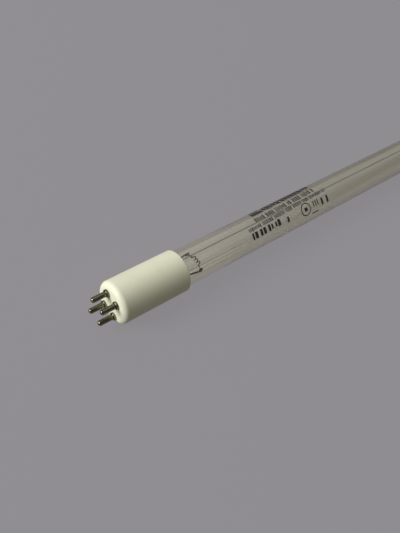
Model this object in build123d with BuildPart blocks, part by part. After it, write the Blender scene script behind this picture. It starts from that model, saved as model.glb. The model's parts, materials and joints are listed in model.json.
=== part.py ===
from build123d import *
import os

# Low-pressure ultraviolet steriliser lamp: a quartz tube with all four pins on one ceramic base.
# The lamp lies along +X with its pins towards -X. The origin is the middle of the four pins, on the
# plane of their shoulders. All sizes are in millimetres.

# Overall length, from the shoulders of the pins to the end of the far cap
LAMP_LENGTH = 287.0

# Quartz tube, flattened into a press seal at each end
TUBE_OD = 15.9
TUBE_WALL = 1.0
SEAL_LENGTH = 10.0
SEAL_THICKNESS = 3.4
SEAL_SHOULDER = 7.0         # length in which the round tube flattens into the seal
CAVITY_NECK = 1.2           # height of the cavity where it runs out in the seal
SHOULDER_LEAD = 0.4         # how far the shoulder's curve runs past the round wall

# Ceramic base and far cap
CAP_WALL = 0.8
CAP_DEPTH = 27.0            # depth of the bore that takes the end of the tube
BASE_FRONT_WALL = 6.0
FAR_CAP_WALL = 3.5
CAP_EDGE_ROUND = 2.5        # closed end
CAP_RIM_ROUND = 0.4         # open end
CAP_MOUTH_CHAMFER = 0.2
WIRING_ROOM = 5.0           # from the floor of a cap's bore to the end of the seal

# Contact pins
PIN_SPACING_Y = 6.35
PIN_SPACING_Z = 7.92
PIN_DIAMETER = 2.35
PIN_LENGTH = 6.4            # from the shoulder to the tip
PIN_TIP_ROUND = 0.95
SHOULDER_DIAMETER = 3.4
SHOULDER_HEIGHT = 1.0
SHOULDER_ROUND = 0.3
SHANK_DIAMETER = 2.8
RIVET_DIAMETER = 3.6
RIVET_HEIGHT = 0.6
CUP_DEPTH = 5.0             # hole in the back of the pin that takes the end of its wire

# Foils and wires
FOIL_PITCH = 4.4
FOIL_WIDTH = 2.0
FOIL_THICKNESS = 0.06
FOIL_INSET = 1.5            # from each end of the flat seal to the foil
WELD_OVERLAP = 1.5          # length of wire that lies on the foil
LEAD_WIRE = 0.4             # diameter of the leads and of the return wires
LEAD_BEND = 1.0
RETURN_TURN = 4.0           # degrees round the tube from the Z axis to the return wires
SUPPORT_WIRE = 0.7
SUPPORT_BEND = 2.0

# Filament and the hooks that hold its legs
ELECTRODE_REACH = 31.1      # from the end of the seal to the hooks
LEG_SPAN = 9.2              # between the two hooks
LEG_SLANT = 0.6             # how far a leg leans forward from its hook to the coil
LEG_END = 0.8               # leg past the middle of its hook
COIL_WIRE = 0.45
COIL_RADIUS = 0.7           # to the middle of the wire
COIL_PITCH = 1.45
COIL_TURNS = 3
ELBOW_DIAMETER = 0.56       # bend of the coated wire between the coil and its leg
HOOK_RUN = 1.6              # straight run of the support before its hook
HOOK_TAIL = 1.3
HOOK_SPLAY = 0.8            # how far the end of the hook stands outward
HOOK_BEND = 0.5

# Cement rings and the fill
CEMENT_LENGTH = 3.5
CEMENT_RECESS = 1.0         # from the rim of the cap
BEAD_DIAMETER = 1.2
BEAD_REACH = 30.0           # from the rim of the far cap

# Clearances
WIRE_GAP = 0.05             # return wire to the tube and to the bore of the caps
PIN_GAP = 0.05              # shank in its hole
CUP_GAP = 0.05              # wire in the back of its pin
SEAL_GAP = 0.03             # quartz round a wire
HOOK_GAP = 0.06             # filament leg in its hook
CEMENT_GAP = 0.02
BEAD_GAP = 0.02

# Sizes that follow from the ones above
tube_radius = TUBE_OD / 2
bore_radius = tube_radius - TUBE_WALL
wire_track = tube_radius + WIRE_GAP + LEAD_WIRE / 2
cap_bore_radius = wire_track + LEAD_WIRE / 2 + WIRE_GAP
cap_radius = cap_bore_radius + CAP_WALL
foil_length = SEAL_LENGTH - 2 * FOIL_INSET
lead_depth = FOIL_INSET + WELD_OVERLAP
lead_height = (FOIL_THICKNESS + LEAD_WIRE) / 2
support_height = (FOIL_THICKNESS + SUPPORT_WIRE) / 2
hook_radius = (COIL_WIRE + SUPPORT_WIRE) / 2 + HOOK_GAP
coil_length = COIL_TURNS * COIL_PITCH
return_place = Vector(0, 0, wire_track).rotate(Axis.X, RETURN_TURN)

# Places along the lamp
base_face = SHOULDER_HEIGHT
base_floor = base_face + BASE_FRONT_WALL
base_rim = base_floor + CAP_DEPTH
near_end = base_floor + WIRING_ROOM
near_turn = base_floor + WIRING_ROOM / 2
far_floor = LAMP_LENGTH - FAR_CAP_WALL
far_rim = far_floor - CAP_DEPTH
far_end = far_floor - WIRING_ROOM
far_turn = far_floor - WIRING_ROOM / 2
pin_back = base_floor + RIVET_HEIGHT
cup_floor = pin_back - CUP_DEPTH
hook_x = near_end + ELECTRODE_REACH
coil_side = hook_x + LEG_SLANT
middle = (near_end + far_end) / 2
mid_plane = Plane.YZ.offset(middle)

os.makedirs("parts", exist_ok=True)


def save(piece, name):
    """Label a finished piece and write it."""
    piece.part.label = name
    export_step(piece.part, f"parts/{name}.step")


def ceramic_cup(closed_x, floor_x, open_x):
    """Round cup about the lamp's axis, with a rounded closed end and a bore that opens at open_x."""
    with BuildPart() as cup:
        with BuildSketch(Plane.XZ):
            with BuildLine():
                Polyline(
                    (closed_x, 0),
                    (closed_x, cap_radius),
                    (open_x, cap_radius),
                    (open_x, cap_bore_radius),
                    (floor_x, cap_bore_radius),
                    (floor_x, 0),
                    close=True,
                )
            make_face()
        revolve(axis=Axis.X)
        circles = cup.edges().filter_by(GeomType.CIRCLE)
        closed_edge = circles.filter_by_position(Axis.X, closed_x, closed_x)
        rim_edges = circles.filter_by_position(Axis.X, open_x, open_x).sort_by(SortBy.RADIUS)
        fillet(closed_edge, CAP_EDGE_ROUND)
        fillet(rim_edges[-1], CAP_RIM_ROUND)
        chamfer(rim_edges[0], CAP_MOUTH_CHAMFER)
    return cup


def contact_pin(y, z):
    """Turned pin with a shoulder on the base's face, a riveted back and a hole for its wire."""
    stud = PIN_DIAMETER / 2
    shoulder = SHOULDER_DIAMETER / 2
    shank = SHANK_DIAMETER / 2
    rivet = RIVET_DIAMETER / 2
    cup = LEAD_WIRE / 2 + CUP_GAP
    with BuildPart() as pin:
        with BuildSketch(Plane(origin=(0, y, z), x_dir=(1, 0, 0), z_dir=(0, -1, 0))):
            with BuildLine():
                Polyline(
                    (-PIN_LENGTH, 0),
                    (-PIN_LENGTH, stud),
                    (0, stud),
                    (0, shoulder),
                    (base_face, shoulder),
                    (base_face, shank),
                    (base_floor, shank),
                    (base_floor, rivet),
                    (pin_back, rivet),
                    (pin_back, cup),
                    (cup_floor, cup),
                    (cup_floor, 0),
                    close=True,
                )
            make_face()
        revolve(axis=Axis((0, y, z), (1, 0, 0)))
        circles = pin.edges().filter_by(GeomType.CIRCLE)
        fillet(circles.filter_by_position(Axis.X, -PIN_LENGTH, -PIN_LENGTH), PIN_TIP_ROUND)
        fillet(circles.filter_by_position(Axis.X, 0, 0).sort_by(SortBy.RADIUS)[-1], SHOULDER_ROUND)
    return pin


def bent_wire(points, diameter, bend):
    """Round wire along straight runs joined by tangent arcs."""
    with BuildPart() as wire:
        with BuildLine() as route:
            FilletPolyline(*points, radius=bend)
        with BuildSketch(Plane(origin=route.line @ 0, z_dir=route.line % 0)):
            Circle(diameter / 2)
        sweep(path=route.line)
    return wire


def side_outline(start, flat_end, half_seal, half_round):
    """Side view of a tube flattened at both ends: flat from start to flat_end, then a shoulder."""
    round_start = flat_end + SEAL_SHOULDER
    half_way = ((flat_end + round_start) / 2, (half_seal + half_round) / 2)
    with BuildSketch(Plane.XZ) as outline:
        with BuildLine():
            Polyline((start, 0), (start, half_seal), (flat_end, half_seal))
            TangentArc((flat_end, half_seal), half_way, tangent=(1, 0))
            TangentArc((round_start, half_round), half_way, tangent=(-1, 0))
            Line((round_start, half_round), (middle, half_round))
            mirror(about=Plane.YZ.offset(middle))
            mirror(about=Plane.XZ)
        make_face()
    return outline.sketch


def cement_ring(start):
    """Ring between the tube and the bore of a cap, with a hole for each return wire."""
    with BuildPart() as ring:
        with BuildSketch(Plane.YZ.offset(start)):
            Circle(cap_bore_radius - CEMENT_GAP)
            Circle(tube_radius + CEMENT_GAP, mode=Mode.SUBTRACT)
            with Locations((return_place.Y, return_place.Z), (-return_place.Y, -return_place.Z)):
                Circle(LEAD_WIRE / 2 + CEMENT_GAP, mode=Mode.SUBTRACT)
        extrude(amount=CEMENT_LENGTH)
    return ring


def far_copy(near_piece):
    """The same piece at the far end of the tube."""
    with BuildPart() as far_piece:
        mirror(near_piece.part, about=mid_plane)
    return far_piece


# Ceramic base with its four pins, each riveted through the front wall
pin_places = [
    (side_y * PIN_SPACING_Y / 2, side_z * PIN_SPACING_Z / 2)
    for side_y in (1, -1)
    for side_z in (1, -1)
]
base_cup = ceramic_cup(base_face, base_floor, base_rim)
with BuildPart() as ceramic_base:
    add(base_cup.part)
    with BuildSketch(Plane.YZ.offset(base_face)):
        with Locations(*pin_places):
            Circle(SHANK_DIAMETER / 2 + PIN_GAP)
    extrude(amount=BASE_FRONT_WALL, mode=Mode.SUBTRACT)
save(ceramic_base, "ceramic_base")

for number, place in enumerate(pin_places, start=1):
    save(contact_pin(*place), f"contact_pin_{number}")

# Plain cap at the far end
far_cap = ceramic_cup(LAMP_LENGTH, far_floor, far_rim)
save(far_cap, "far_cap")

# Seal foils, two side by side in the middle of each seal
near_foils = []
for number, side in enumerate((1, -1), start=1):
    with BuildPart() as near_foil:
        with BuildSketch(Plane.YZ.offset(near_end + FOIL_INSET)):
            with Locations((side * FOIL_PITCH / 2, 0)):
                Rectangle(FOIL_WIDTH, FOIL_THICKNESS)
        extrude(amount=foil_length)
    near_foils.append(near_foil)
    save(near_foil, f"near_seal_foil_{number}")
far_foils = [far_copy(near_foil) for near_foil in near_foils]
for number, far_foil in enumerate(far_foils, start=1):
    save(far_foil, f"far_seal_foil_{number}")

# Quartz tube, flattened at its ends, with room in the seals for the foils and the wires
seal_inner_end = near_end + SEAL_LENGTH
bore_end = seal_inner_end + TUBE_WALL + SEAL_SHOULDER / 2
outer_outline = side_outline(near_end, seal_inner_end, SEAL_THICKNESS / 2, tube_radius + SHOULDER_LEAD)
cavity_outline = side_outline(
    seal_inner_end, seal_inner_end + TUBE_WALL, CAVITY_NECK / 2, bore_radius + SHOULDER_LEAD
)
with BuildPart() as cavity:
    with BuildSketch(Plane.YZ.offset(near_end)):
        Circle(bore_radius)
    extrude(amount=far_end - near_end)
    extrude(cavity_outline, amount=TUBE_OD, both=True, mode=Mode.INTERSECT)
with BuildPart() as near_wire_bores:
    for side in (1, -1):
        with BuildSketch(Plane.YZ.offset(near_end)):
            with Locations((side * FOIL_PITCH / 2, side * lead_height)):
                Circle(LEAD_WIRE / 2 + SEAL_GAP)
        extrude(amount=lead_depth + SEAL_GAP)
        with BuildSketch(Plane.YZ.offset(seal_inner_end - lead_depth - SEAL_GAP)):
            with Locations((side * FOIL_PITCH / 2, side * support_height)):
                Circle(SUPPORT_WIRE / 2 + SEAL_GAP)
        extrude(amount=bore_end - seal_inner_end + lead_depth + SEAL_GAP)
far_wire_bores = far_copy(near_wire_bores)
with BuildPart() as quartz_tube:
    with BuildSketch(Plane.YZ.offset(near_end)):
        Circle(tube_radius)
    extrude(amount=far_end - near_end)
    extrude(outer_outline, amount=TUBE_OD, both=True, mode=Mode.INTERSECT)
    add(cavity.part, mode=Mode.SUBTRACT)
    for room in near_foils + far_foils + [near_wire_bores, far_wire_bores]:
        add(room.part, mode=Mode.SUBTRACT)
save(quartz_tube, "quartz_tube")

# Support wires, which spread out from the seal and hook round the legs of the filament
for number, side in enumerate((1, -1), start=1):
    hook_y = side * LEG_SPAN / 2
    over = side * hook_radius
    weld = (seal_inner_end - lead_depth, side * FOIL_PITCH / 2, side * support_height)
    bend = (bore_end, side * FOIL_PITCH / 2, side * support_height)
    hook_start = (hook_x, hook_y, over)
    hook_end = (hook_x, hook_y, -over)
    with BuildPart() as near_support:
        with BuildLine() as route:
            FilletPolyline(weld, bend, (hook_x - HOOK_RUN, hook_y, over), hook_start, radius=SUPPORT_BEND)
            ThreePointArc(hook_start, (hook_x + hook_radius, hook_y, 0), hook_end)
            FilletPolyline(
                hook_end,
                (hook_x - HOOK_TAIL / 2, hook_y, -over),
                (hook_x - HOOK_TAIL, hook_y + side * HOOK_SPLAY, -over),
                radius=HOOK_BEND,
            )
        with BuildSketch(Plane(origin=weld, z_dir=(1, 0, 0))):
            Circle(SUPPORT_WIRE / 2)
        sweep(path=route.line)
    save(near_support, f"near_support_{number}")
    save(far_copy(near_support), f"far_support_{number}")

# Filament: a coil across the tube, with a straight leg at each end that leans back into its hook
coil_start = (coil_side + COIL_RADIUS, -coil_length / 2, 0)
coil_plane = Plane(origin=coil_start, x_dir=(-1, 0, 0), z_dir=(0, 1, 0))
with BuildLine() as turns:
    Helix(pitch=COIL_PITCH, height=coil_length, radius=COIL_RADIUS, lefthand=True)
coil = coil_plane.from_local_coords(turns.line)
with BuildPart() as near_filament:
    with BuildSketch(Plane(origin=coil @ 0, z_dir=coil % 0)):
        Circle(COIL_WIRE / 2)
    sweep(path=coil, is_frenet=True)
    for side in (1, -1):
        elbow = Vector(coil_side, side * coil_length / 2, 0)
        leg = Vector(hook_x, side * LEG_SPAN / 2, 0) - elbow
        with Locations(elbow):
            Sphere(ELBOW_DIAMETER / 2)
        with BuildSketch(Plane(origin=elbow, z_dir=leg)):
            Circle(COIL_WIRE / 2)
        extrude(amount=leg.length + LEG_END)
save(near_filament, "near_filament")
save(far_copy(near_filament), "far_filament")

# Near leads, from the near foils to the two pins on the +Y side
wire_end = cup_floor + CUP_GAP
for number, side in enumerate((1, -1), start=1):
    foil_y = side * FOIL_PITCH / 2
    pin_y, pin_z = pin_places[number - 1]
    near_lead = bent_wire(
        [
            (near_end + lead_depth, foil_y, side * lead_height),
            (near_turn, foil_y, side * lead_height),
            (near_turn, pin_y, pin_z),
            (wire_end, pin_y, pin_z),
        ],
        LEAD_WIRE,
        LEAD_BEND,
    )
    save(near_lead, f"near_lead_{number}")

# Return wires, from the far foils back along the outside of the tube to the two pins on the -Y side
for number, side in enumerate((1, -1), start=1):
    foil_y = side * FOIL_PITCH / 2
    pin_y, pin_z = pin_places[number + 1]
    return_wire = bent_wire(
        [
            (far_end - lead_depth, foil_y, side * lead_height),
            (far_turn, foil_y, side * lead_height),
            (far_turn, side * return_place.Y, side * return_place.Z),
            (near_turn, side * return_place.Y, side * return_place.Z),
            (near_turn, pin_y, pin_z),
            (wire_end, pin_y, pin_z),
        ],
        LEAD_WIRE,
        LEAD_BEND,
    )
    save(return_wire, f"return_wire_{number}")

# Cement that fixes the tube in the base and in the far cap
save(cement_ring(base_rim - CEMENT_RECESS - CEMENT_LENGTH), "base_cement")
save(cement_ring(far_rim + CEMENT_RECESS), "far_cement")

# Mercury bead, loose on the bottom of the tube
with BuildPart() as mercury_bead:
    with Locations((far_rim - BEAD_REACH, 0, BEAD_DIAMETER / 2 + BEAD_GAP - bore_radius)):
        Sphere(BEAD_DIAMETER / 2)
save(mercury_bead, "mercury_bead")
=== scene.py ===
import json
import math
import random

import bmesh
import bpy
from mathutils import Matrix, Vector


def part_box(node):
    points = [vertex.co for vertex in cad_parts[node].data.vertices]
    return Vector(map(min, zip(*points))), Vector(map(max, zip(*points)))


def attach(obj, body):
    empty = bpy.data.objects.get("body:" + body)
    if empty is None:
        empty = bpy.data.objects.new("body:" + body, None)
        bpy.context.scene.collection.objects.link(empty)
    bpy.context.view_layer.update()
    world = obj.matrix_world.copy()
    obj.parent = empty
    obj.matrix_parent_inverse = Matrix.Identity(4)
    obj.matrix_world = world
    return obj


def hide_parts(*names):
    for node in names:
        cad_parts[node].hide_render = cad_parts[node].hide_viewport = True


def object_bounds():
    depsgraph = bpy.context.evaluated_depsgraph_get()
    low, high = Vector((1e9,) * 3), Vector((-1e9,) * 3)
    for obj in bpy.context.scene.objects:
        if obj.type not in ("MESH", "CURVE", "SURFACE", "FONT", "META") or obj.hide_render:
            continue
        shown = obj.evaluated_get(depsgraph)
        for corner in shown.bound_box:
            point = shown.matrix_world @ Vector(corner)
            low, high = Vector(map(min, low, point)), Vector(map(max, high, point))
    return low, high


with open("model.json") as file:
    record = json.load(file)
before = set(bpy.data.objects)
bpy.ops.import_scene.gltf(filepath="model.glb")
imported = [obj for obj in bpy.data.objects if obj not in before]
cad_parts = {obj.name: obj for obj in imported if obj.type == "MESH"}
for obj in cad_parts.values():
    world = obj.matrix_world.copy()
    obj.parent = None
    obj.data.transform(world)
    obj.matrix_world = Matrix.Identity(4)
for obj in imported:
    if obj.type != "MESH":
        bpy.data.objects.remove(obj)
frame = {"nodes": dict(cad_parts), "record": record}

# A clear quartz tube lamp lies on a pale floor. Sizes below are in millimetres, and MM turns them
# into the metres that the frame uses. Colours are linear.
MM = 0.001
cad_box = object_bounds()

# Camera
CAMERA_PLACE = (-94.49, -96.27, 210.95)
CAMERA_LOOK = (0.51499, 0.34617, -0.78419)
CAMERA_UP = (0.39497, 0.71610, 0.57550)
CAMERA_LENS = 43.15
CAMERA_SENSOR = 36.0
CAMERA_CLIP = 10.0

# Floor and light
FLOOR_SIZE = 12000.0
FLOOR_COLOUR = (0.05, 0.048, 0.052)
FLOOR_GLOW = (0.242, 0.233, 0.248)
FLOOR_ROUGHNESS = 0.9
FLOOR_SPECULAR = 0.1
LIGHT_DISTANCE = 1600.0
KEY_DIRECTION = (-0.82, 0.355, 0.450)
KEY_SIZE = 1100.0
KEY_POWER = 29.5
FILL_DIRECTION = (0.48, 0.42, 0.76)
FILL_SIZE = 2400.0
FILL_POWER = 6.4
SKY_COLOUR = (1.0, 0.95, 0.82)
SKY_STRENGTH = 0.13

# Reflectors that only the glass sees: direction and power of each
REFLECTOR_SIZE = 3200.0
REFLECTORS = {
    "front_reflector": ((0.0, -0.70, 0.70), 15.0),
    "back_reflector": ((-0.12, 0.80, 0.60), 9.0),
}

# Finishes. Tones are a dark and a light colour, and a noise goes from one to the other between its low
# and its high level. Roughness is a range over the same levels. Relief is a strength and a depth.
NOISE_LOW = 0.3
NOISE_HIGH = 0.7
NOISE_DETAIL = 4.0
NOISE_ROUGHNESS = 0.55
UNSTRETCHED = (1, 1, 1)
CERAMIC_TONES = ((0.83, 0.84, 0.64), (0.87, 0.88, 0.69))
CERAMIC_CLOUDS = 120.0
CERAMIC_GRAIN = 2600.0
CERAMIC_GRAIN_DETAIL = 2.0
CERAMIC_ROUGHNESS = (0.40, 0.55)
CERAMIC_RELIEF = (0.25, 0.02)
CEMENT_TONES = ((0.46, 0.43, 0.34), (0.66, 0.63, 0.52))
CEMENT_LUMPS = 900.0
CEMENT_LUMP_DETAIL = 6.0
CEMENT_LUMP_ROUGHNESS = 0.65
CEMENT_ROUGHNESS = (0.75, 0.95)
CEMENT_RELIEF = (0.7, 0.12)
INK_TONES = ((0.018, 0.018, 0.016), (0.045, 0.044, 0.040))
INK_BLOTS = 1500.0
INK_ROUGHNESS = (0.45, 0.65)

# Metals, by material slot: the noise is stretched along each axis, and relief is its depth
METAL_RELIEF_STRENGTH = 0.2
DARK_METAL_TONES = ((0.025, 0.025, 0.02), (0.07, 0.066, 0.05))
METALS = {
    "pin_metal": {
        "name": "pin_finish", "tones": ((0.15, 0.14, 0.085), (0.25, 0.235, 0.16)),
        "roughness": (0.16, 0.26), "stretch": (300, 300, 300), "scale": 1.0, "relief": 0.005},
    "wire": {
        "name": "wire_finish", "tones": ((0.38, 0.365, 0.31), (0.50, 0.48, 0.43)),
        "roughness": (0.30, 0.45), "stretch": (60, 2500, 2500), "scale": 1.0, "relief": 0.01},
    "support_wire": {
        "name": "support_finish", "tones": DARK_METAL_TONES,
        "roughness": (0.40, 0.60), "stretch": (200, 1500, 1500), "scale": 1.0, "relief": 0.01},
    "filament": {
        "name": "filament_finish", "tones": DARK_METAL_TONES,
        "roughness": (0.50, 0.75), "stretch": UNSTRETCHED, "scale": 3000.0, "relief": 0.03},
    "foil": {
        "name": "foil_finish", "tones": ((0.40, 0.40, 0.41), (0.52, 0.52, 0.53)),
        "roughness": (0.20, 0.35), "stretch": (300, 2000, 2000), "scale": 1.0, "relief": 0.005},
    "mercury": {
        "name": "mercury_finish", "tones": ((0.74, 0.75, 0.76), (0.80, 0.81, 0.82)),
        "roughness": (0.03, 0.10), "stretch": UNSTRETCHED, "scale": 1500.0, "relief": 0.01},
}

# Quartz: faint draw lines along the tube, and a yellowish tint that grows with the depth of the glass
QUARTZ_LINE_TONES = [(0.36, (0.82, 0.80, 0.72)), (0.47, (0.95, 0.94, 0.88))]
QUARTZ_LINE_STRETCH = (3, 450, 450)
QUARTZ_LINE_SCALE = 1.0
QUARTZ_LINE_DETAIL = 2.0
QUARTZ_RELIEF = (0.02, 0.01)
QUARTZ_IOR = 1.46
QUARTZ_TINT = (0.97, 0.94, 0.60)
QUARTZ_TINT_DENSITY = 110.0
# Roughness of the quartz by the share of its length: clear round the electrodes, hazed between them
QUARTZ_HAZE = [(0.14, 0.03), (0.20, 0.16), (0.80, 0.16), (0.86, 0.03)]
# Painted brightening of the quartz's colour by the share of its length: the colour is a little lighter near
# the base, a painted reflection that stands in for reflected light
QUARTZ_PAINTED_BRIGHTENING = {"low": 1.05, "high": 1.0, "start": 0.20, "stop": 0.42}

# Quartz tube: press seals at its ends and the cavity between them
RING_POINTS = 128
SEAL_LENGTH = 10.0
SEAL_THICKNESS = 3.4
SEAL_SHOULDER = 7.0
SHOULDER_STEPS = 14
STRAIGHT_STEPS = 48
TUBE_WALL = 1.0
CAVITY_NECK = 1.2
SMOOTH_ANGLE = 40.0

# Printed marks on the tube. Angles and heights are in degrees round it, from +Y.
PRINT_LIFT = 0.012
PRINT_THICKNESS = 0.02
PRINT_STEP = 4.0            # most degrees between two points of a mark
PRINT_RING_POINTS = 40
PRINT_SMOOTH_ANGLE = 30.0
PRINT_LEAN = -0.25          # degrees round the tube for each millimetre along a row
PRINT_SEED = 11
PRINT_LENGTH_SHARES = (0.7, 1.3)
PRINT_HEIGHT_SHARES = (1.0, 1.0, 0.75)
# Rows of bars: their ends along the tube, the mean length of a bar, the gap between two bars, how many
# bars make a group and the space between two groups
PRINT_ROWS = [
    {"start": 85.0, "stop": 116.0, "angle": 51.0, "height": 30.0,
     "bar": 1.7, "gap": 0.6, "group": (3, 6), "space": 0.4},
    {"start": 76.5, "stop": 116.0, "angle": 86.0, "height": 18.0,
     "bar": 0.85, "gap": 0.45, "group": (2, 6), "space": 0.9},
    {"start": 70.3, "stop": 121.0, "angle": 108.0, "height": 14.0,
     "bar": 0.60, "gap": 0.4, "group": (4, 8), "space": 0.8},
    {"start": 70.9, "stop": 91.0, "angle": 130.0, "height": 22.0,
     "bar": 1.3, "gap": 0.65, "group": (2, 2), "space": 0.8},
]
# Single bars: place and length along the tube, angle and height round it
PRINT_BARS = [
    (77.5, 6.9, 59.0, 14.0),
    (78.5, 5.5, 40.0, 10.0),
    (92.6, 1.1, 132.0, 19.0),
    (104.2, 1.8, 129.0, 13.0),
    (110.2, 0.6, 123.0, 20.0),
    (111.6, 0.6, 123.0, 20.0),
    (113.0, 0.6, 123.0, 20.0),
    (108.8, 4.3, 153.0, 4.0),
    (115.6, 1.2, 128.0, 25.0),
    (119.2, 1.2, 128.0, 25.0),
]
PRINT_RING = {"x": 105.1, "angle": 129.0, "outer": 3.2, "inner": 2.7}


def slot_material(name):
    """A new node material, its node tree and its shader."""
    material = bpy.data.materials.new(name)
    material.use_nodes = True
    tree = material.node_tree
    tree.nodes.clear()
    output = tree.nodes.new("ShaderNodeOutputMaterial")
    shader = tree.nodes.new("ShaderNodeBsdfPrincipled")
    tree.links.new(shader.outputs["BSDF"], output.inputs["Surface"])
    return material, tree, shader


def stretched_position(tree, scale):
    """Position on the part, stretched by a factor along each axis."""
    place = tree.nodes.new("ShaderNodeTexCoord")
    mapping = tree.nodes.new("ShaderNodeMapping")
    mapping.inputs["Scale"].default_value = scale
    tree.links.new(place.outputs["Object"], mapping.inputs["Vector"])
    return mapping.outputs["Vector"]


def share_of_length(tree):
    """Place along a piece, from 0 at its lowest x to 1 at its highest."""
    place = tree.nodes.new("ShaderNodeTexCoord")
    split = tree.nodes.new("ShaderNodeSeparateXYZ")
    tree.links.new(place.outputs["Generated"], split.inputs["Vector"])
    return split.outputs["X"]


def noise(tree, position, scale, detail=NOISE_DETAIL, rough=NOISE_ROUGHNESS):
    """Cloudy noise with features of about 1 / scale metres."""
    node = tree.nodes.new("ShaderNodeTexNoise")
    node.inputs["Scale"].default_value = scale
    node.inputs["Detail"].default_value = detail
    node.inputs["Roughness"].default_value = rough
    tree.links.new(position, node.inputs["Vector"])
    return node.outputs["Fac"]


def colour_ramp(tree, factor, stops):
    """Colours along a factor, from (place, colour) stops."""
    node = tree.nodes.new("ShaderNodeValToRGB")
    ramp = node.color_ramp
    while len(ramp.elements) < len(stops):
        ramp.elements.new(1.0)
    for element, (place, colour) in zip(ramp.elements, stops):
        element.position = place
        element.color = (*colour, 1.0)
    tree.links.new(factor, node.inputs["Fac"])
    return node.outputs["Color"]


def tone_ramp(tree, factor, tones):
    """A dark and a light colour over the usual levels of a noise."""
    return colour_ramp(tree, factor, list(zip((NOISE_LOW, NOISE_HIGH), tones)))


def value_range(tree, factor, low, high, start=NOISE_LOW, stop=NOISE_HIGH):
    """A number from low to high as the factor goes from start to stop."""
    node = tree.nodes.new("ShaderNodeMapRange")
    node.inputs["From Min"].default_value = start
    node.inputs["From Max"].default_value = stop
    node.inputs["To Min"].default_value = low
    node.inputs["To Max"].default_value = high
    tree.links.new(factor, node.inputs["Value"])
    return node.outputs["Result"]


def bump(tree, shader, height, strength, distance):
    """Surface relief of about distance millimetres."""
    node = tree.nodes.new("ShaderNodeBump")
    node.inputs["Strength"].default_value = strength
    node.inputs["Distance"].default_value = distance * MM
    tree.links.new(height, node.inputs["Height"])
    tree.links.new(node.outputs["Normal"], shader.inputs["Normal"])


def ceramic_material():
    """Warm white fired ceramic: satin, faintly clouded and finely grained."""
    material, tree, shader = slot_material("ceramic_finish")
    place = stretched_position(tree, UNSTRETCHED)
    clouds = noise(tree, place, CERAMIC_CLOUDS)
    grain = noise(tree, place, CERAMIC_GRAIN, detail=CERAMIC_GRAIN_DETAIL)
    tree.links.new(tone_ramp(tree, clouds, CERAMIC_TONES), shader.inputs["Base Color"])
    tree.links.new(value_range(tree, grain, *CERAMIC_ROUGHNESS), shader.inputs["Roughness"])
    bump(tree, shader, grain, *CERAMIC_RELIEF)
    return material


def cement_material():
    """Rough cream cement with pits."""
    material, tree, shader = slot_material("cement_finish")
    place = stretched_position(tree, UNSTRETCHED)
    lumps = noise(tree, place, CEMENT_LUMPS, detail=CEMENT_LUMP_DETAIL, rough=CEMENT_LUMP_ROUGHNESS)
    tree.links.new(tone_ramp(tree, lumps, CEMENT_TONES), shader.inputs["Base Color"])
    tree.links.new(value_range(tree, lumps, *CEMENT_ROUGHNESS), shader.inputs["Roughness"])
    bump(tree, shader, lumps, *CEMENT_RELIEF)
    return material


def quartz_material():
    """Clear fused quartz, yellowish where the wall is deep, with faint draw lines along the tube and a
    painted brightening of its colour near the base that stands in for reflected light.
    """
    material, tree, shader = slot_material("quartz_finish")
    place = stretched_position(tree, QUARTZ_LINE_STRETCH)
    lines = noise(tree, place, QUARTZ_LINE_SCALE, detail=QUARTZ_LINE_DETAIL)
    share = share_of_length(tree)
    # painted reflection: the colour is made a little lighter near the base, standing in for reflected light
    painted_brightening = tree.nodes.new("ShaderNodeHueSaturation")
    tree.links.new(colour_ramp(tree, lines, QUARTZ_LINE_TONES), painted_brightening.inputs["Color"])
    tree.links.new(value_range(tree, share, **QUARTZ_PAINTED_BRIGHTENING), painted_brightening.inputs["Value"])
    tree.links.new(painted_brightening.outputs["Color"], shader.inputs["Base Color"])
    haze = colour_ramp(tree, share, [(stop, (rough,) * 3) for stop, rough in QUARTZ_HAZE])
    tree.links.new(haze, shader.inputs["Roughness"])
    shader.inputs["Transmission Weight"].default_value = 1.0
    shader.inputs["IOR"].default_value = QUARTZ_IOR
    depth = tree.nodes.new("ShaderNodeVolumeAbsorption")
    depth.inputs["Color"].default_value = (*QUARTZ_TINT, 1.0)
    depth.inputs["Density"].default_value = QUARTZ_TINT_DENSITY
    tree.links.new(depth.outputs["Volume"], tree.nodes["Material Output"].inputs["Volume"])
    bump(tree, shader, lines, *QUARTZ_RELIEF)
    return material


def metal_material(name, tones, roughness, stretch, scale, relief):
    """Metal whose tone and gloss vary in streaks or clouds."""
    material, tree, shader = slot_material(name)
    streaks = noise(tree, stretched_position(tree, stretch), scale)
    tree.links.new(tone_ramp(tree, streaks, tones), shader.inputs["Base Color"])
    tree.links.new(value_range(tree, streaks, *roughness), shader.inputs["Roughness"])
    shader.inputs["Metallic"].default_value = 1.0
    bump(tree, shader, streaks, METAL_RELIEF_STRENGTH, relief)
    return material


def ink_material():
    """Dark printing ink, a little uneven."""
    material, tree, shader = slot_material("ink_finish")
    blots = noise(tree, stretched_position(tree, UNSTRETCHED), INK_BLOTS)
    tree.links.new(tone_ramp(tree, blots, INK_TONES), shader.inputs["Base Color"])
    tree.links.new(value_range(tree, blots, *INK_ROUGHNESS), shader.inputs["Roughness"])
    return material


def floor_material():
    """Pale matt floor."""
    material, tree, shader = slot_material("floor_finish")
    shader.inputs["Base Color"].default_value = (*FLOOR_COLOUR, 1.0)
    shader.inputs["Emission Color"].default_value = (*FLOOR_GLOW, 1.0)
    shader.inputs["Emission Strength"].default_value = 1.0
    shader.inputs["Roughness"].default_value = FLOOR_ROUGHNESS
    shader.inputs["Specular IOR Level"].default_value = FLOOR_SPECULAR
    return material


finishes = {
    "ceramic": ceramic_material(),
    "cement": cement_material(),
    "quartz": quartz_material(),
}
for slot, metal in METALS.items():
    finishes[slot] = metal_material(**metal)
for part in frame["record"]["subparts"]:
    for material_slot in frame["nodes"][part["node"]].material_slots:
        material_slot.material = finishes[part["material_slot"]]


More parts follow.
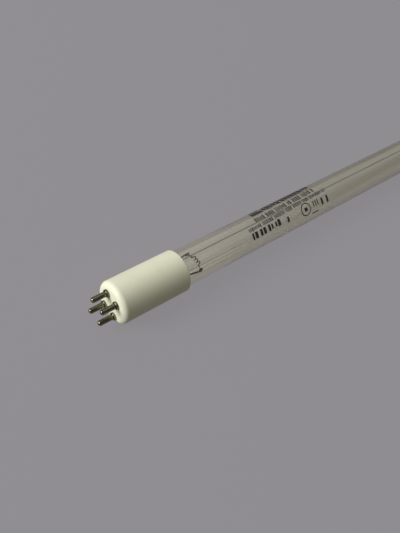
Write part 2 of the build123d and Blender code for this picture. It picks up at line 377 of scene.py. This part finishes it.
def new_piece(name, mesh_builder, material, smooth_angle=SMOOTH_ANGLE):
    """An object from a bmesh, smooth shaded up to an angle, which rides on the lamp."""
    mesh = bpy.data.meshes.new(name)
    mesh_builder.to_mesh(mesh)
    mesh_builder.free()
    mesh.materials.append(material)
    mesh.shade_smooth()
    mesh.set_sharp_from_angle(angle=math.radians(smooth_angle))
    piece = bpy.data.objects.new(name, mesh)
    bpy.context.scene.collection.objects.link(piece)
    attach(piece, "root")
    return piece


def shoulder_height(x, flat_end, half_seal, radius):
    """Half height of the tube at x, where it swells from the flat seal to its round section."""
    share = min(max((x - flat_end) / SEAL_SHOULDER, 0.0), 1.0)
    return half_seal + (radius - half_seal) * share * share * (3 - 2 * share)


def seal_stations(start, flat_end, middle):
    """Places along one half of the tube, from its end to its middle."""
    round_start = flat_end + SEAL_SHOULDER
    curve = [flat_end + SEAL_SHOULDER * step / SHOULDER_STEPS for step in range(SHOULDER_STEPS)]
    straight = [
        round_start + (middle - round_start) * step / STRAIGHT_STEPS for step in range(STRAIGHT_STEPS + 1)
    ]
    return [start] * (start < flat_end) + curve + straight


def pressed_shell(builder, start, flat_end, middle, radius, half_seal, inward):
    """Closed skin of a round tube that is pressed flat at both ends."""
    half = [
        (x, shoulder_height(x, flat_end, half_seal, radius)) for x in seal_stations(start, flat_end, middle)
    ]
    other_half = [(2 * middle - x, height) for x, height in half[-2::-1]]
    rings = []
    for x, height in half + other_half:
        ring = []
        for point in range(RING_POINTS):
            turn = math.tau * point / RING_POINTS
            z = min(max(radius * math.sin(turn), -height), height)
            ring.append(builder.verts.new((x * MM, radius * math.cos(turn) * MM, z * MM)))
        rings.append(ring)
    faces = [builder.faces.new(rings[0][::-1]), builder.faces.new(rings[-1])]
    for ring, after in zip(rings, rings[1:]):
        for point in range(RING_POINTS):
            beside = (point + 1) % RING_POINTS
            faces.append(builder.faces.new((ring[point], ring[beside], after[beside], after[point])))
    if inward:
        bmesh.ops.reverse_faces(builder, faces=faces)


def quartz_tube():
    """The tube's outer skin and the skin of its cavity."""
    low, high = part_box("quartz_tube")
    start, end, radius = low.x / MM, high.x / MM, high.y / MM
    middle = (start + end) / 2
    seal_end = start + SEAL_LENGTH
    cavity_end = seal_end + TUBE_WALL
    builder = bmesh.new()
    pressed_shell(builder, start, seal_end, middle, radius, SEAL_THICKNESS / 2, False)
    pressed_shell(builder, cavity_end, cavity_end, middle, radius - TUBE_WALL, CAVITY_NECK / 2, True)
    tube = new_piece("clear_tube", builder, finishes["quartz"])
    tube.visible_diffuse = False
    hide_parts("quartz_tube")
    return tube


def on_tube(x, degrees, reach):
    """A point at x, at an angle round the tube from +Y, at a distance from its axis."""
    turn = math.radians(degrees)
    return x * MM, reach * math.cos(turn) * MM, reach * math.sin(turn) * MM


def ink_mark(builder, radius, x, length, angle, height):
    """One thin curved bar on the tube. Angle and height are in degrees round the tube."""
    steps = max(1, math.ceil(height / PRINT_STEP))
    turns = [angle + height * (step / steps - 0.5) for step in range(steps + 1)]
    edges = []
    for lift, along in ((0, 0), (0, length), (PRINT_THICKNESS, length), (PRINT_THICKNESS, 0)):
        reach = radius + PRINT_LIFT + lift
        edges.append([builder.verts.new(on_tube(x + along, turn, reach)) for turn in turns])
    for edge, beside in zip(edges, edges[1:] + edges[:1]):
        for step in range(steps):
            builder.faces.new((edge[step], beside[step], beside[step + 1], edge[step + 1]))
    builder.faces.new([edge[0] for edge in edges[::-1]])
    builder.faces.new([edge[-1] for edge in edges])


def ink_ring(builder, radius, x, angle, outer, inner):
    """One thin curved ring on the tube."""
    loops = []
    for lift, size in ((0, outer), (PRINT_THICKNESS, outer), (PRINT_THICKNESS, inner), (0, inner)):
        loop = []
        for point in range(PRINT_RING_POINTS):
            turn = math.tau * point / PRINT_RING_POINTS
            round_tube = angle + math.degrees(size * math.sin(turn) / radius)
            place = on_tube(x + size * math.cos(turn), round_tube, radius + PRINT_LIFT + lift)
            loop.append(builder.verts.new(place))
        loops.append(loop)
    for loop, beside in zip(loops, loops[1:] + loops[:1]):
        for point in range(PRINT_RING_POINTS):
            after = (point + 1) % PRINT_RING_POINTS
            builder.faces.new((loop[point], loop[after], beside[after], beside[point]))


def print_row(builder, radius, row):
    """A row of bars in word-like groups, which leans a little round the tube."""
    draw = random.Random(PRINT_SEED + row["start"])
    x = row["start"]
    while x < row["stop"]:
        for _ in range(draw.randint(*row["group"])):
            length = row["bar"] * draw.uniform(*PRINT_LENGTH_SHARES)
            height = row["height"] * draw.choice(PRINT_HEIGHT_SHARES)
            if x + length < row["stop"]:
                angle = row["angle"] + PRINT_LEAN * (x - row["start"])
                ink_mark(builder, radius, x, length, angle, height)
            x += length + row["gap"]
        x += row["space"]


def printed_marks():
    """All printed marks on the tube."""
    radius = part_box("quartz_tube")[1].y / MM
    builder = bmesh.new()
    for row in PRINT_ROWS:
        print_row(builder, radius, row)
    for bar in PRINT_BARS:
        ink_mark(builder, radius, *bar)
    ink_ring(builder, radius, **PRINT_RING)
    bmesh.ops.recalc_face_normals(builder, faces=builder.faces)
    new_piece("printed_marks", builder, ink_material(), smooth_angle=PRINT_SMOOTH_ANGLE)


def floor():
    """A wide pale floor under the lamp."""
    bpy.ops.mesh.primitive_plane_add(size=FLOOR_SIZE * MM, location=(0, 0, cad_box[0].z))
    plane = bpy.context.object
    plane.name = "floor"
    plane.data.materials.append(floor_material())
    plane.visible_diffuse = False


def soft_box(name, direction, size, power):
    """A round soft light that shines on the lamp from a direction."""
    light = bpy.data.lights.new(name, "AREA")
    light.shape = "DISK"
    light.size = size * MM
    light.energy = power
    holder = bpy.data.objects.new(name, light)
    away = Vector(direction).normalized()
    holder.location = away * LIGHT_DISTANCE * MM
    holder.rotation_euler = away.to_track_quat("Z", "Y").to_euler()
    holder.visible_camera = False
    bpy.context.scene.collection.objects.link(holder)
    return holder


def reflector(name, direction, power, piece):
    """A wide soft light that shows in one piece alone."""
    holder = soft_box(name, direction, REFLECTOR_SIZE, power)
    group = bpy.data.collections.new(name)
    group.objects.link(piece)
    holder.light_linking.receiver_collection = group


def sky():
    """Even dim light from all round."""
    world = bpy.data.worlds.new("sky")
    bpy.context.scene.world = world
    world.use_nodes = True
    background = world.node_tree.nodes["Background"]
    background.inputs["Color"].default_value = (*SKY_COLOUR, 1.0)
    background.inputs["Strength"].default_value = SKY_STRENGTH


def camera():
    """The photograph's view, down on the pins from one side."""
    data = bpy.data.cameras.new("camera")
    data.lens = CAMERA_LENS
    data.sensor_width = CAMERA_SENSOR
    data.clip_start = CAMERA_CLIP * MM
    holder = bpy.data.objects.new("camera", data)
    back = -Vector(CAMERA_LOOK).normalized()
    right = Vector(CAMERA_UP).cross(back).normalized()
    up = back.cross(right)
    turned = Matrix((right, up, back)).transposed().to_4x4()
    holder.matrix_world = Matrix.Translation(Vector(CAMERA_PLACE) * MM) @ turned
    bpy.context.scene.collection.objects.link(holder)
    bpy.context.scene.camera = holder


tube = quartz_tube()
printed_marks()
floor()
soft_box("key", KEY_DIRECTION, KEY_SIZE, KEY_POWER)
soft_box("fill", FILL_DIRECTION, FILL_SIZE, FILL_POWER)
for name, (direction, power) in REFLECTORS.items():
    reflector(name, direction, power, tube)
sky()
camera()
bpy.context.scene.view_settings.view_transform = "Standard"
